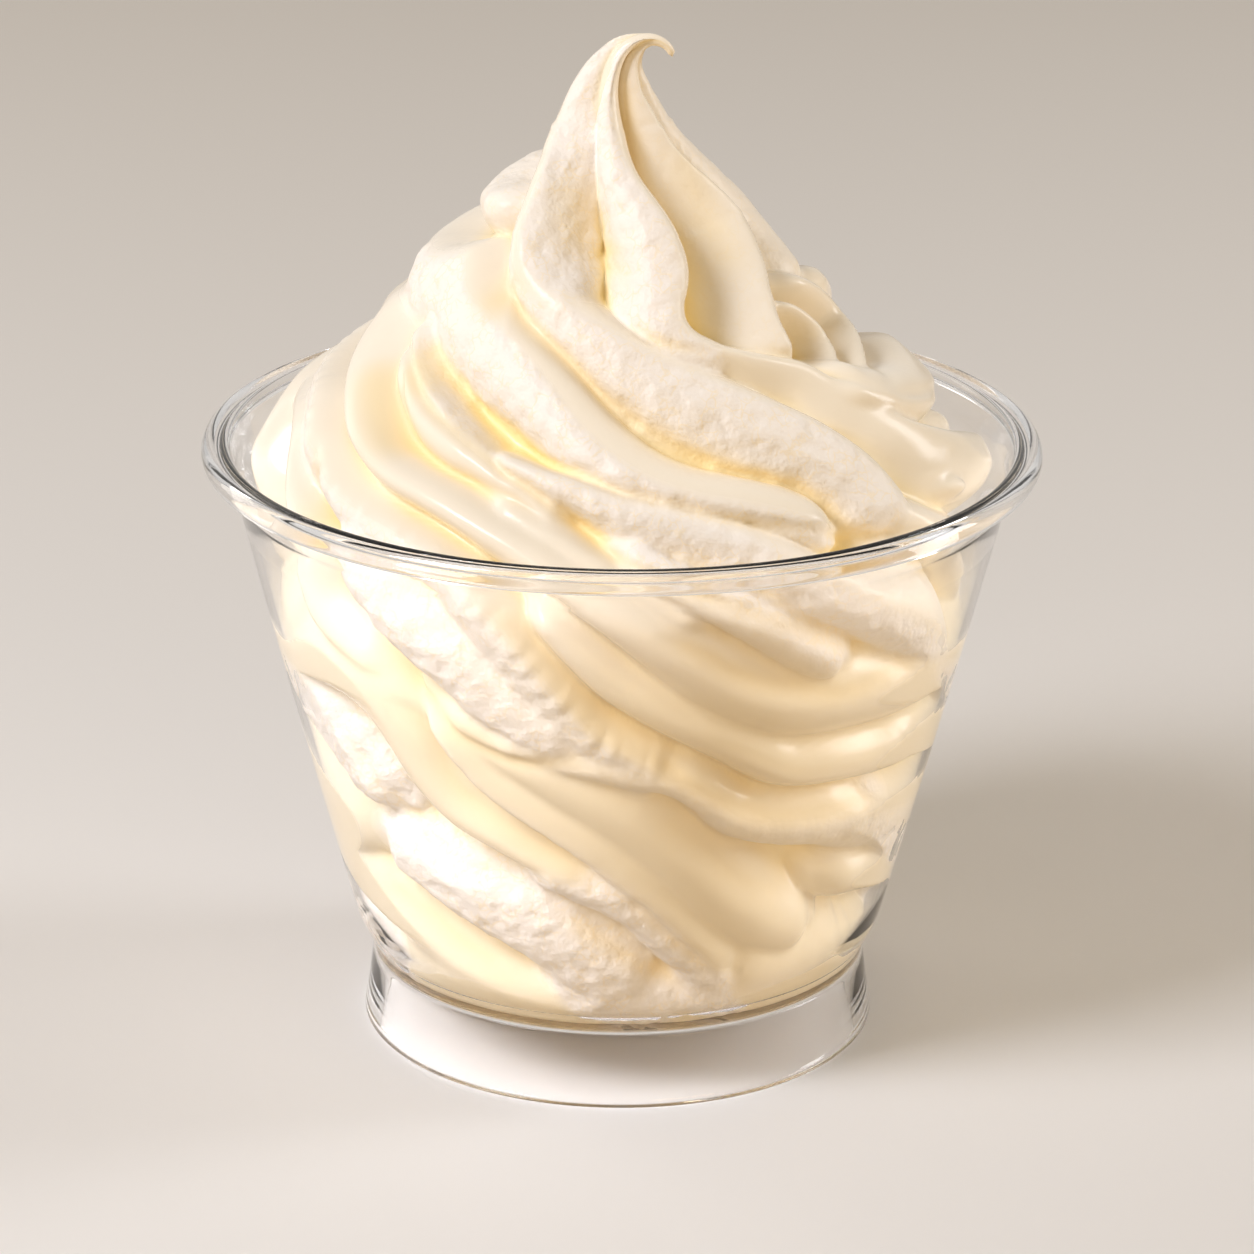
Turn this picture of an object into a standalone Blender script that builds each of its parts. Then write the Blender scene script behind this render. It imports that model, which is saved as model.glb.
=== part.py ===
"""Vanilla soft-serve sundae in a clear footed plastic cup.

Two solids: the moulded cup, turned from one profile, and the soft serve, a
piped swirl that fills it and rises to a curled tip. Lengths are in
millimetres until they reach a mesh, where MM turns them into metres. The
origin is on the axis of the cup, at the surface that it stands on, +Z up.
Azimuths are in degrees from the front (-Y), growing towards +X.
"""
import math

import bmesh
import bpy
import numpy as np

MM = 0.001

# Cup
RIM_RADIUS = 49.0
RIM_TOP = 72.5
RIM_BEAD = 1.3
LIP_ROOT_RADIUS = 46.3
WALL = 0.9
WALL_TOP_RADIUS = 45.9
WALL_TOP_HEIGHT = 69.8
WALL_FOOT_RADIUS = 31.7
WALL_FOOT_HEIGHT = 14.6
WALL_BULGE = 0.25
NECK_RADIUS = 29.5
NECK_HEIGHT = 9.4
FLOOR_TOP = 10.3
FLOOR_UNDER = 9.1
FOOT_RADIUS = 30.6
FOOT_INNER_RADIUS = 28.6
FOOT_EDGE = 0.6
CUP_SEGMENTS = 64

# Soft serve
GAP = 0.35
SERVE_FLOOR = FLOOR_TOP + 0.3
SERVE_COLUMNS = 84
SERVE_ROWS = 44
FLOOR_ROWS = 3
WIND_SLOPE = math.radians(45.0)
WIND_TOP = 100.0
CREASE_DEPTH = 3.0
DEEPEST_CREASE = 4.5
BLEND = 0.35
END_FADE = 4.0
END_DROP = 2.5
AIR_GAP = 2.6
AIR_GAP_START = 50.5
AIR_GAP_FULL = 54.0
AIR_GAP_FADE = 62.0
AIR_GAP_END = 70.0
AIR_GAP_AZIMUTHS = (55.0, 73.0)
LEAN = -1.6
LEAN_START = 66.0
LEAN_END = 86.0
CURL_START = 110.0
CURL_LENGTH = 14.7
CURL_TURN = math.radians(150.0)
CURL_POWER = 2.5
CURL_RADII = ((0.0, 6.6), (4.4, 4.35), (7.5, 3.2), (9.6, 2.0), (11.5, 0.95), (14.3, 0.45), (14.7, 0.0))

# Radius of the crests at each height, from the cup's floor to the foot of the curl.
CREST_RADII = (
    (10.6, 27.5), (12.0, 29.3), (14.0, 30.4), (20.0, 32.3), (40.0, 37.5), (60.0, 42.6), (64.0, 43.2),
    (68.0, 42.6), (73.0, 39.4), (78.0, 35.9), (83.0, 30.8), (88.0, 25.4), (92.0, 22.1), (96.0, 18.9),
    (100.0, 15.9), (104.0, 11.8), (108.0, 7.9), (110.0, 6.6),
)

# Ribs that can be told apart at the front: path as (azimuth, height), then the
# width above and below the crest.
FRONT_RIBS = (
    (((-80, 113), (-42, 104), (-18, 96), (20, 88), (47, 81), (55, 70)), 3.0, 9.0),
    (((-8, 118), (8, 109), (26, 101), (22, 94), (31, 89.6)), 3.0, 9.0),
    (((45, 117), (61, 110), (78, 102), (62, 93.5), (56, 89.5)), 4.0, 9.0),
    (((-150, 107), (-75, 103), (-50, 101), (-28, 96)), 4.0, 4.0),
    (((-170, 99), (-105, 95.6), (-57, 95), (-20, 88.5), (5, 79), (39, 71.5)), 4.5, 8.0),
    (((-165, 97), (-105, 89), (-60, 87), (-25, 79), (4, 69)), 3.0, 3.5),
    (((-150, 91), (-78, 83.4), (-35, 76), (-8, 69), (15, 56), (35, 51.7), (68, 52.5), (110, 46)), 5.0, 6.0),
    (((-140, 88), (-85, 81.5), (-45, 74), (-20, 64), (-3, 49.5), (10, 45)), 3.0, 5.0),
    (((-185, 94), (-110, 78.5), (-82, 76), (-66, 66), (-52, 59)), 3.5, 4.0),
    (((-78, 79.5), (-57, 70.5), (-45, 57.5), (-29, 50.5), (-13, 46.7)), 6.0, 3.5),
    (((-16, 79.4), (12, 75), (38, 65.5), (68, 51)), 4.0, 6.0),
    (((0, 71.5), (25, 60.5), (41, 53.5)), 4.0, 5.0),
    (((-14, 66), (3, 54), (26, 44.8), (50, 41.5), (85, 39)), 3.0, 4.0),
    (((-105, 57), (-58, 53), (-44, 48.5), (-30, 37), (-4, 29.5)), 5.0, 6.0),
    (((-34, 50), (-20, 39.8), (0, 31), (20, 23), (39, 19), (75, 15)), 5.0, 3.0),
    (((-32, 50), (0, 39.5), (25, 27.5), (50, 24), (105, 19)), 4.0, 5.0),
    (((-24, 48), (10, 43.5), (35, 35.7), (65, 33.4), (105, 27)), 3.0, 7.0),
    (((2, 26.5), (22, 17), (60, 12.5)), 4.0, 4.0),
    (((-80, 33), (-45, 28.3), (-15, 21.5), (5, 13.5)), 5.0, 6.0),
    (((-75, 47), (-57, 41), (-47, 34.5)), 4.5, 4.0),
    (((-90, 28), (-60, 23.3), (-20, 11.5)), 3.5, 6.0),
    (((28, 89.6), (57, 85.6), (66, 80.5), (85, 73), (130, 60)), 2.5, 8.0),
    (((50, 94), (85, 89.8), (110, 85.5), (150, 75.5), (165, 70)), 3.5, 4.0),
    (((60, 84), (80, 79.8), (102, 76.8), (138, 67)), 4.0, 3.0),
)

# Families of like ribs round the back: path of the first, width above and
# below, how many, and the turn from one to the next.
BACK_RIBS = (
    (((101, 120), (124, 109), (136, 104), (139, 98), (134, 92)), 3.5, 8.0, 3, 60.0),
    (((75, 97), (100, 93.5), (125, 89), (150, 83), (192, 70)), 4.0, 5.0, 3, 30.0),
    (((54, 72), (74, 63), (90, 56), (124, 48)), 5.0, 5.0, 7, 27.0),
    (((61, 53), (87, 43), (103, 37), (141, 29)), 5.5, 5.5, 6, 32.0),
    (((48, 35), (72, 26), (88, 20), (126, 11)), 5.5, 5.5, 6, 33.0),
)


def clear_scene():
    for item in list(bpy.data.objects):
        bpy.data.objects.remove(item, do_unlink=True)


def plain_material(name, colour, roughness, transmission=0.0, subsurface=0.0):
    material = bpy.data.materials.new(name)
    material.use_nodes = True
    shader = material.node_tree.nodes["Principled BSDF"]
    shader.inputs["Base Color"].default_value = (*colour, 1.0)
    shader.inputs["Roughness"].default_value = roughness
    shader.inputs["Metallic"].default_value = 0.0
    shader.inputs["Transmission Weight"].default_value = transmission
    shader.inputs["Subsurface Weight"].default_value = subsurface
    return material


def add_object(name, mesh, material, collection):
    mesh.materials.append(material)
    item = bpy.data.objects.new(name, mesh)
    collection.objects.link(item)
    return item


# ---------------------------------------------------------------- cup
def wall_outer_radius(height):
    """Outside of the wall: a cone with a slight outward bulge."""
    share = (height - WALL_FOOT_HEIGHT) / (WALL_TOP_HEIGHT - WALL_FOOT_HEIGHT)
    straight = WALL_FOOT_RADIUS + (WALL_TOP_RADIUS - WALL_FOOT_RADIUS) * share
    return straight + WALL_BULGE * math.sin(math.pi * min(max(share, 0.0), 1.0))


def arc(centre, radius, start, end, steps):
    """Points on an arc in the profile's plane, angles in degrees from +X."""
    angles = [math.radians(start + (end - start) * k / steps) for k in range(steps + 1)]
    return [(centre[0] + radius * math.cos(a), centre[1] + radius * math.sin(a)) for a in angles]


def cup_profile():
    """Floor, inside, rim, outside, foot and recess, from axis to axis."""
    heights = [WALL_FOOT_HEIGHT + (WALL_TOP_HEIGHT - WALL_FOOT_HEIGHT) * k / 6 for k in range(7)]
    inside = [(wall_outer_radius(z) - WALL, z) for z in heights]
    outside = [(wall_outer_radius(z), z) for z in reversed(heights)]
    bead = (RIM_RADIUS - RIM_BEAD, RIM_TOP - RIM_BEAD)
    foot_corner = (FOOT_RADIUS - FOOT_EDGE, FOOT_EDGE)
    points = [(0.0, FLOOR_TOP), (NECK_RADIUS - 2.5, FLOOR_TOP)]
    points += [(NECK_RADIUS - 0.6, FLOOR_TOP + 0.8)]
    points += inside
    points += [(LIP_ROOT_RADIUS, RIM_TOP - 0.2)]
    points += arc(bead, RIM_BEAD, 90, -90, 6)
    points += [(LIP_ROOT_RADIUS + 0.3, WALL_TOP_HEIGHT + 0.6)]
    points += outside
    points += [(NECK_RADIUS + 0.5, WALL_FOOT_HEIGHT - 3.0), (NECK_RADIUS, NECK_HEIGHT)]
    points += [((NECK_RADIUS + FOOT_RADIUS) / 2, NECK_HEIGHT / 2)]
    points += arc(foot_corner, FOOT_EDGE, 0, -90, 2)
    points += [(FOOT_INNER_RADIUS, 0.0), (FOOT_INNER_RADIUS - 0.6, FLOOR_UNDER), (0.0, FLOOR_UNDER)]
    return points


def build_cup(collection):
    profile = [(x * MM, 0.0, z * MM) for x, z in cup_profile()]
    edges = [(k, k + 1) for k in range(len(profile) - 1)]
    mesh = bpy.data.meshes.new("cup")
    mesh.from_pydata(profile, edges, [])
    plastic = plain_material("clear_plastic", (0.93, 0.92, 0.9), 0.06, transmission=1.0)
    cup = add_object("cup", mesh, plastic, collection)
    turn = cup.modifiers.new("turn", "SCREW")
    turn.axis = "Z"
    turn.angle = math.tau
    turn.steps = CUP_SEGMENTS
    turn.render_steps = CUP_SEGMENTS
    turn.use_merge_vertices = True
    turn.merge_threshold = 0.0001
    turn.use_smooth_shade = True
    return cup


# ---------------------------------------------------------------- soft serve
def crest_radius(height):
    rows = np.array(CREST_RADII)
    return np.interp(height, rows[:, 0], rows[:, 1])


def surface_length(height):
    """Length along the swirl's outline, up to each height."""
    steps = np.linspace(SERVE_FLOOR, CURL_START + CURL_LENGTH, 600)
    lengths = np.hypot(np.diff(steps), np.diff(crest_radius(steps)))
    return np.interp(height, steps, np.concatenate([[0.0], np.cumsum(lengths)]))


def smooth_path(points, samples=24):
    """A Catmull-Rom curve through a rib's points."""
    knots = np.array(points, float)
    ends = np.vstack([2 * knots[0] - knots[1], knots, 2 * knots[-1] - knots[-2]])
    position = np.linspace(0, len(knots) - 1, samples)
    k = np.minimum(position.astype(int), len(knots) - 2)
    t = (position - k)[:, None]
    a, b, c, d = ends[k], ends[k + 1], ends[k + 2], ends[k + 3]
    curve = 2 * b + (c - a) * t + (2 * a - 5 * b + 4 * c - d) * t**2 + (3 * b - a - 3 * c + d) * t**3
    return curve / 2


def rib_height(path, above, below, azimuth, height):
    """How high one rib stands at each point: 0 on its crest, falling as a parabola to each side."""
    line = smooth_path(path)
    middle = (line[:, 0].min() + line[:, 0].max()) / 2
    turned = (azimuth - middle + 180) % 360 - 180 + middle
    scale = np.radians(crest_radius(height))[:, None]
    across = (turned[:, None] - line[:-1, 0]) * scale
    up = (surface_length(height)[:, None] - surface_length(line[:-1, 1]))
    step_across = np.diff(line[:, 0]) * scale
    step_up = np.diff(surface_length(line[:, 1])) + np.zeros_like(step_across)
    length = np.hypot(step_across, step_up)
    along = np.clip((across * step_across + up * step_up) / length**2, 0, 1)
    distance = np.hypot(across - along * step_across, up - along * step_up)
    nearest = distance.argmin(1)
    pick = (np.arange(len(nearest)), nearest)
    side = (step_across * up - step_up * across)[pick]
    width = np.where(side > 0, above, below)
    place = (nearest + along[pick]) / (len(line) - 1) * length.mean(0).sum()
    to_end = np.minimum(place, length.mean(0).sum() - place)
    fade = np.clip(1 - to_end / END_FADE, 0, 1) ** 2
    return -CREASE_DEPTH * (distance[pick] / width) ** 2 - END_DROP * fade


def all_ribs():
    yield from FRONT_RIBS
    for path, above, below, count, turn in BACK_RIBS:
        for k in range(count):
            yield [(a + k * turn, z) for a, z in path], above, below


def relief(azimuth, height):
    """A soft maximum of all the ribs, so that neighbours meet in a crease."""
    total = np.ones_like(azimuth)
    for path, above, below in all_ribs():
        rise = rib_height(path, above, below, azimuth, height) + DEEPEST_CREASE
        total += np.exp(np.clip(rise / BLEND, -30, 30))
    return BLEND * np.log(total) - DEEPEST_CREASE


def curl_at(length):
    """Centre, tilt and radius of the tip, which curls over to the right."""
    steps = np.linspace(0, CURL_LENGTH, 200)
    tilt = CURL_TURN * (steps / CURL_LENGTH) ** CURL_POWER
    across = np.concatenate([[0.0], np.cumsum(np.sin(tilt[1:]) * np.diff(steps))])
    up = np.concatenate([[0.0], np.cumsum(np.cos(tilt[1:]) * np.diff(steps))])
    radii = np.array(CURL_RADII)
    return (
        LEAN + np.interp(length, steps, across),
        CURL_START + np.interp(length, steps, up),
        np.interp(length, steps, tilt),
        np.interp(length, radii[:, 0], radii[:, 1]),
    )


def smooth_step(value, start, end):
    share = np.clip((value - start) / (end - start), 0, 1)
    return share**2 * (3 - 2 * share)


def lean_at(height):
    return LEAN * smooth_step(height, LEAN_START, LEAN_END)


def air_gap(azimuth, height):
    """How far the swirl draws back from the wall at the sides and back, below the rim."""
    turned = np.abs((azimuth + 180) % 360 - 180)
    rising = smooth_step(height, AIR_GAP_START, AIR_GAP_FULL)
    fading = 1 - smooth_step(height, AIR_GAP_FADE, AIR_GAP_END)
    return AIR_GAP * rising * fading * smooth_step(turned, *AIR_GAP_AZIMUTHS)


def winding(height):
    """How far the columns of points have turned at each height, so that they run down with the ribs."""
    steps = np.linspace(SERVE_FLOOR, WIND_TOP, 400)
    turns = np.diff(surface_length(steps)) / crest_radius(steps[1:]) / math.tan(WIND_SLOPE)
    return -np.degrees(np.interp(height, steps, np.concatenate([[0.0], np.cumsum(turns)])))


def serve_points(column, share):
    """Places for points in these columns, share 0 at the middle of the floor and 1 at the tip."""
    floor_share = FLOOR_ROWS / SERVE_ROWS
    reach = surface_length(CURL_START + CURL_LENGTH)
    heights = np.linspace(SERVE_FLOOR, CURL_START + CURL_LENGTH, 600)
    climbed = np.clip((share - floor_share) / (1 - floor_share), 0, 1) * reach
    height = np.interp(climbed, surface_length(heights), heights)
    azimuth = column + winding(height)
    on_floor = np.clip(share / floor_share, 0, 1)
    curled = np.maximum(height - CURL_START, 0)
    curl_x, curl_z, tilt, curl_radius = curl_at(curled)
    in_curl = height > CURL_START
    fade = np.where(in_curl, curl_radius / CURL_RADII[0][1], 1.0)
    rise = relief(azimuth, height) * fade
    slope = (crest_radius(height + 0.5) - crest_radius(height - 0.5)) / np.hypot(
        1.0, crest_radius(height + 0.5) - crest_radius(height - 0.5)
    )
    body_radius = crest_radius(height) - air_gap(azimuth, height) + rise * np.sqrt(1 - slope**2)
    wall = np.array([wall_outer_radius(z) for z in height]) - WALL - GAP
    body_radius = np.where(height < RIM_TOP, np.minimum(body_radius, wall), body_radius)
    radius = np.where(in_curl, np.maximum(curl_radius + rise * 0.6, curl_radius * 0.5), body_radius)
    radius = radius * np.where(share < floor_share, on_floor, 1.0)
    angle = np.radians(azimuth)
    centre_x = np.where(in_curl, curl_x, lean_at(height))
    centre_z = np.where(in_curl, curl_z, height - rise * slope * (share > floor_share))
    out = radius * np.sin(angle)
    return np.stack(
        [
            centre_x + out * np.cos(tilt),
            -radius * np.cos(angle),
            np.maximum(centre_z - out * np.sin(tilt), SERVE_FLOOR),
        ],
        axis=1,
    )


def build_soft_serve(collection):
    """A sphere whose rings are moved onto the swirl."""
    sphere = bmesh.new()
    bmesh.ops.create_uvsphere(sphere, u_segments=SERVE_COLUMNS, v_segments=SERVE_ROWS, radius=1.0)
    unit = np.array([vertex.co[:] for vertex in sphere.verts])
    share = 0.5 + np.arcsin(np.clip(unit[:, 2], -1, 1)) / math.pi
    column = np.degrees(np.arctan2(unit[:, 0], -unit[:, 1]))
    for vertex, place in zip(sphere.verts, serve_points(column, share)):
        vertex.co = place * MM
    bmesh.ops.recalc_face_normals(sphere, faces=sphere.faces)
    mesh = bpy.data.meshes.new("soft_serve")
    sphere.to_mesh(mesh)
    sphere.free()
    mesh.shade_smooth()
    ice_cream = plain_material("ice_cream", (0.95, 0.86, 0.66), 0.45, subsurface=0.3)
    return add_object("soft_serve", mesh, ice_cream, collection)


def main():
    clear_scene()
    collection = bpy.data.collections.new("vanilla_sundae")
    bpy.context.scene.collection.children.link(collection)
    build_cup(collection)
    build_soft_serve(collection)


main()
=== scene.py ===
# %% [markdown]
# # Vanilla soft serve in a clear footed cup
# The real thing is a thin cup, moulded in one piece from clear plastic, and one long rope of soft ice
# cream that a ribbed nozzle has wound into it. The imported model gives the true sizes. This script makes
# the fine surfaces that stand for it: first the studio, then the cup, then the swirl.

# %% Load the frame
import math
import random

import bmesh
import bpy
import numpy as np
from mathutils import Matrix, Vector


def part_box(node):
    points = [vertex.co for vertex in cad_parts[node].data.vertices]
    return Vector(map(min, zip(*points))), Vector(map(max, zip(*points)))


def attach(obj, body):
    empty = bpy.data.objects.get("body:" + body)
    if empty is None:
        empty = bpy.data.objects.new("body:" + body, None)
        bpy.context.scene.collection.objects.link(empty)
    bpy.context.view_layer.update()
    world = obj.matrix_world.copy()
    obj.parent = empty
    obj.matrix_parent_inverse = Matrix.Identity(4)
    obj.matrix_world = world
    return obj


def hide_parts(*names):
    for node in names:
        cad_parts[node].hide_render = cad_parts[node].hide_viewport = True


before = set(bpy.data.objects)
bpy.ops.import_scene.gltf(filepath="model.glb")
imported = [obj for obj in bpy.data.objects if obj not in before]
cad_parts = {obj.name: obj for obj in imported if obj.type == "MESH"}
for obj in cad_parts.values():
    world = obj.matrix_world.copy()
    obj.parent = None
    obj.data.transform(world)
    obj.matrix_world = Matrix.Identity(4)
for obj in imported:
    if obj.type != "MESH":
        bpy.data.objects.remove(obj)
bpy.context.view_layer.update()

MM = 0.001


def placed(name, data):
    """A new object in the scene that shows this mesh, lamp or camera."""
    thing = bpy.data.objects.new(name, data)
    bpy.context.scene.collection.objects.link(thing)
    return thing


cup_low, cup_high = [np.array(corner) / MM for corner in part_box("cup")]
serve_low, serve_high = [np.array(corner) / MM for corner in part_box("soft_serve")]
print("cup, mm:", cup_low.round(1), cup_high.round(1))
print("soft serve, mm:", serve_low.round(1), serve_high.round(1))

# %% [markdown]
# ## Shader arithmetic
# A material is easier to read as a formula than as a heap of nodes. The first class below wraps a socket,
# so that an expression such as `1 - mask * 0.5` adds its Math nodes by itself. The second adds any other
# node in one line: its type, its settings, and what its sockets get.

# %% A socket that can be used in expressions


class Value:
    """A socket of a node tree, with arithmetic."""

    def __init__(self, tree, socket):
        self.tree = tree
        self.socket = socket

    def math(self, operation, first, second):
        return self.tree.add("ShaderNodeMath", {"operation": operation}, {0: first, 1: second})

    def __add__(self, other):
        return self.math("ADD", self, other)

    def __sub__(self, other):
        return self.math("SUBTRACT", self, other)

    def __rsub__(self, other):
        return self.math("SUBTRACT", other, self)

    def __mul__(self, other):
        return self.math("MULTIPLY", self, other)

    def __truediv__(self, other):
        return self.math("DIVIDE", self, other)

    def __rtruediv__(self, other):
        return self.math("DIVIDE", other, self)

    __radd__ = __add__
    __rmul__ = __mul__


class Tree:
    """Adds nodes to a shader or geometry tree and links what it is given."""

    def __init__(self, node_tree):
        self.nodes = node_tree.nodes
        self.links = node_tree.links

    def add(self, kind, settings=None, sockets=None, out=0):
        """A new node, given back as the value of one of its outputs."""
        node = self.nodes.new(kind)
        for name, setting in (settings or {}).items():
            setattr(node, name, setting)
        for name, value in (sockets or {}).items():
            self.put(node.inputs[name], value)
        return Value(self, node.outputs[out])

    def put(self, socket, value):
        """Links a value to a socket, or sets the socket to a plain number or colour."""
        if isinstance(value, Value):
            self.links.new(value.socket, socket)
        else:
            socket.default_value = value


def new_material(name):
    """A material with its tree and its Principled shader."""
    material = bpy.data.materials.new(name)
    material.use_nodes = True
    tree = Tree(material.node_tree)
    return material, tree, tree.nodes["Principled BSDF"]


def colour_mix(tree, factor, first, second):
    """The first colour where the factor is 0 and the second where it is 1."""
    return tree.add("ShaderNodeMix", {"data_type": "RGBA"}, {"Factor": factor, 6: first, 7: second}, out=2)


# %% [markdown]
# ## Studio
# One large soft lamp from the upper left gives each rib a bright side and a shaded one, and a weak golden
# one from the right fills the shade. Two tall lamps at the sides draw light edges on the clear plastic and
# on the ribs' right flanks. The floor is a plain pale disc.
#
# Ice cream glows, because light wanders about inside it and comes out golden. Real subsurface scattering
# needs several times the samples for a clean picture, so the glow is made with light instead: a Light Path
# node tells the rays that light a dull surface from those that are seen directly or in the plastic, and
# only the first kind meet a warm world and a warm floor. In hollows and creases the glow is also painted
# into the ice cream's colour.

# %% Camera
VIEW_HEIGHT = 48.4
VIEW_SIDE = 0.76
VIEW_DISTANCE = 629.0
VIEW_ELEVATION = math.radians(20.39)
VIEW_ROLL = math.radians(0.493)
LENS = 152.7


def add_camera():
    """A long lens, a little above the rim, that looks at the middle of the cup."""
    data = bpy.data.cameras.new("camera")
    data.lens = LENS
    data.sensor_width = 36.0
    data.clip_start = 0.01
    camera = placed("camera", data)
    target = Vector((VIEW_SIDE, 0.0, VIEW_HEIGHT)) * MM
    away = Vector((0.0, -math.cos(VIEW_ELEVATION), math.sin(VIEW_ELEVATION)))
    turn = (-away).to_track_quat("-Z", "Y").to_matrix().to_4x4()
    camera.matrix_world = (
        Matrix.Translation(target + away * VIEW_DISTANCE * MM) @ turn @ Matrix.Rotation(VIEW_ROLL, 4, "Z")
    )
    bpy.context.scene.camera = camera
    return camera


camera = add_camera()
print("camera at, mm:", [round(v / MM, 1) for v in camera.location])

# %% Lamps, world and floor


def add_lamp(name, azimuth, elevation, distance, size, power, colour=(1.0, 1.0, 1.0)):
    """A soft rectangular lamp that faces the sundae. Azimuth 0 is in front, 90 on the right."""
    data = bpy.data.lights.new(name, "AREA")
    data.shape = "RECTANGLE"
    data.size, data.size_y = size
    data.energy = power
    data.color = colour
    lamp = placed(name, data)
    turn, rise = math.radians(azimuth), math.radians(elevation)
    away = Vector((math.sin(turn) * math.cos(rise), -math.cos(turn) * math.cos(rise), math.sin(rise)))
    lamp.location = Vector((0.0, 0.0, 0.06)) + away * distance
    lamp.rotation_euler = (-away).to_track_quat("-Z", "Y").to_euler()
    return lamp


add_lamp("key", -56.0, 41.0, 0.9, (0.3, 0.35), 6.1, (0.965, 0.985, 1.06))
add_lamp("fill", 30.0, 8.0, 1.0, (0.5, 0.3), 1.05, (1.0, 0.74, 0.39))
add_lamp("left_edge", -125.0, 20.0, 0.9, (0.2, 0.8), 0.9, (1.0, 0.94, 0.88))
add_lamp("right_edge", 98.0, 20.0, 0.9, (0.25, 0.6), 3.65, (0.98, 0.99, 1.03))


WARM_WORLD = (1.0, 0.745, 0.40, 1.0)
WARM_STRENGTH = 0.26
PALE_WORLD = (0.80, 0.78, 0.76, 1.0)
PALE_STRENGTH = 0.9
PALE_FLOOR = (0.80, 0.785, 0.77, 1.0)
WARM_FLOOR = (0.76, 0.575, 0.34, 1.0)


def lights_dull(tree):
    """0 for a ray that is seen directly, through plastic or in gloss, and 1 or more for one that lights."""
    return tree.add("ShaderNodeLightPath", out="Diffuse Depth")


def add_world():
    """Dim and warm where it lights the ice cream, brighter where the clear plastic mirrors it."""
    world = bpy.data.worlds.new("studio")
    world.use_nodes = True
    tree = Tree(world.node_tree)
    tree.nodes.remove(tree.nodes["Background"])
    bright = tree.add("ShaderNodeBackground", None, {"Color": PALE_WORLD, "Strength": PALE_STRENGTH})
    dim = tree.add("ShaderNodeBackground", None, {"Color": WARM_WORLD, "Strength": WARM_STRENGTH})
    mixed = tree.add("ShaderNodeMixShader", None, {0: lights_dull(tree), 1: bright, 2: dim})
    tree.put(tree.nodes["World Output"].inputs["Surface"], mixed)
    bpy.context.scene.world = world


def add_floor():
    """A plain pale disc that the foot stands on. The light that it throws up on the ice cream is warm."""
    disc = bmesh.new()
    bmesh.ops.create_circle(disc, cap_ends=True, segments=128, radius=3.0)
    mesh = bpy.data.meshes.new("floor")
    disc.to_mesh(mesh)
    disc.free()
    material, tree, shader = new_material("pale_floor")
    tree.put(shader.inputs["Roughness"], 0.6)
    tree.put(shader.inputs["Base Color"], colour_mix(tree, lights_dull(tree), PALE_FLOOR, WARM_FLOOR))
    mesh.materials.append(material)
    placed("floor", mesh)


add_world()
add_floor()
bpy.context.scene.view_settings.view_transform = "Standard"

# %% [markdown]
# ## The cup
# A clear dessert cup is one thin shell: a conical wall, a rolled rim that stiffens it, a fine ledge where
# cups rest in each other, and a hollow foot. It is round, so one outline turned about the axis gives all
# of it, and the wall has a real thickness, because clear plastic shows its edges by bending light.

# %% Outline of the cup
RIM_RADIUS = cup_high[0]
RIM_TOP = cup_high[2]
WALL = 0.9
WALL_TOP_RADIUS = 45.9
WALL_TOP_HEIGHT = 69.8
WALL_FOOT_RADIUS = 31.7
WALL_FOOT_HEIGHT = 14.6
WALL_BULGE = 0.25
LEDGE_HEIGHT = 67.0
LEDGE_STEP = 0.25
NECK_RADIUS = 29.5
NECK_HEIGHT = 9.4
FLOOR_TOP = 10.3
FLOOR_UNDER = 9.1
FOOT_RADIUS = 30.6
FOOT_WALL = 1.3
NECK_CURVE = [(30.9, 12.6), (30.0, 11.2), (NECK_RADIUS, NECK_HEIGHT), (29.6, 7.6), (30.0, 4.0),
              (30.45, 1.6)]
RECESS_CURVE = [(28.5, 4.0), (28.1, 7.6)]


def wall_outer(height):
    """Outside radius of the wall: a cone with a slight bulge."""
    share = (height - WALL_FOOT_HEIGHT) / (WALL_TOP_HEIGHT - WALL_FOOT_HEIGHT)
    bulge = WALL_BULGE * np.sin(math.pi * np.clip(share, 0, 1))
    return WALL_FOOT_RADIUS + (WALL_TOP_RADIUS - WALL_FOOT_RADIUS) * share + bulge


def wall_inner(height):
    """Inside radius of the wall, which is also as far out as the ice cream can reach."""
    return wall_outer(height) - WALL


def arc(centre, radii, start, end, steps):
    """Points on an arc of an ellipse, angles in degrees from +X."""
    angles = np.radians(np.linspace(start, end, steps + 1))
    return [(centre[0] + radii[0] * math.cos(a), centre[1] + radii[1] * math.sin(a)) for a in angles]


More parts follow.
